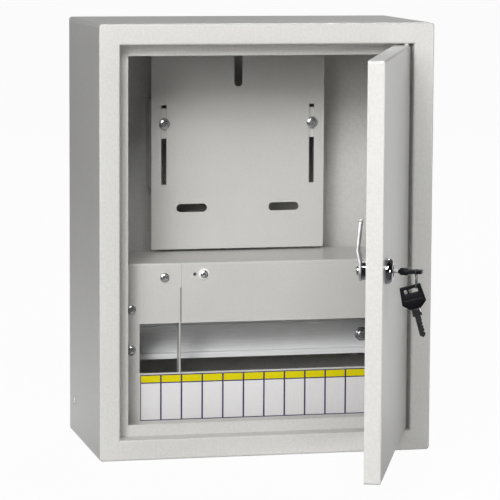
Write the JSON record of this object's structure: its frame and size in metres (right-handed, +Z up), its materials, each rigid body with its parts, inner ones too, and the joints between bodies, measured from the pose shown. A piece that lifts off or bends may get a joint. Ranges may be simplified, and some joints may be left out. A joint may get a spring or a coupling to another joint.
{
  "type": "distribution board",
  "caption": "Grey sheet-steel wall box with a hinged lockable door, a sliding meter plate above and a top-hat rail behind slotted covers below, for a meter and breakers.",
  "frame": {"origin": "centre of the back face, midway between the four wall holes", "axes": "+X to the right seen from the front, +Y back into the wall, +Z up; the front looks along -Y"},
  "size_m": [0.3112, 0.4092, 0.395],
  "materials": {
    "painted_steel": "light grey powder coat, fine orange peel, semi-gloss",
    "zinc_steel": "bright zinc plating",
    "lock_chrome": "polished chrome",
    "ring_steel": "bright spring steel wire",
    "key_steel": "nickel-plated steel",
    "black_plastic": "moulded black plastic, satin",
    "pale_plastic": "pale washer, satin",
    "label_film": "printed adhesive film with a yellow header row and ruled cells"
  },
  "bodies": {
    "enclosure": {"enclosure_wrap": "painted_steel", "back_panel": "painted_steel", "hinge_pin_upper": "zinc_steel", "hinge_pin_lower": "zinc_steel", "meter_bracket_left": "painted_steel", "meter_bracket_right": "painted_steel", "meter_plate_screws": "zinc_steel", "din_rail": "zinc_steel", "din_rail_bracket_left": "zinc_steel", "din_rail_bracket_right": "zinc_steel", "din_rail_washers": "zinc_steel", "din_rail_bolts": "zinc_steel", "din_rail_nuts": "zinc_steel", "cover_support_left": "painted_steel", "cover_support_right": "painted_steel", "cover_crossbar": "painted_steel", "cover_incomer": "painted_steel", "cover_main": "painted_steel", "cover_screws": "zinc_steel", "seal_washer": "pale_plastic", "seal_screw": "zinc_steel", "label_strip_incomer": "label_film", "label_strip_main": "label_film", "earth_bolt": "painted_steel", "earth_washer": "zinc_steel", "earth_nut": "zinc_steel"},
    "meter_plate": {"meter_plate": "painted_steel"},
    "door": {"door_panel": "painted_steel", "lock_housing": "lock_chrome", "lock_washer": "zinc_steel", "lock_nut": "zinc_steel"},
    "lock": {"lock_plug": "lock_chrome", "lock_cam": "zinc_steel", "cam_screw": "zinc_steel", "key_blade": "key_steel", "key_head": "black_plastic"},
    "key_ring": {"key_ring": "ring_steel"},
    "spare_key": {"spare_key_blade": "key_steel", "spare_key_head": "black_plastic"}
  },
  "joints": [
    {"name": "door_hinge", "type": "hinge", "parent": "enclosure", "child": "door", "pos_m": [0.1293, -0.1615, 0], "axis": [0, 0, 1], "range_deg": [-69.5, 48.5]},
    {"name": "lock_turn", "type": "hinge", "parent": "door", "child": "lock", "pos_m": [0.04965, -0.38453, 0], "axis": [0.9367, -0.3502, 0], "range_deg": [0, 90]},
    {"name": "meter_plate_slide", "type": "slide", "parent": "enclosure", "child": "meter_plate", "axis": [0, 0, 1], "range_m": [-0.002, 0.02]},
    {"name": "ring_swing", "type": "hinge", "parent": "lock", "child": "key_ring", "pos_m": [0.07145, -0.40075, 0], "axis": [-0.9367, 0.3502, 0], "range_deg": [-3, 90]},
    {"name": "spare_key_swing", "type": "hinge", "parent": "key_ring", "child": "spare_key", "pos_m": [0.07145, -0.40075, -0.0131], "axis": [-0.3502, -0.9367, 0], "range_deg": [-40, 40]}
  ]
}
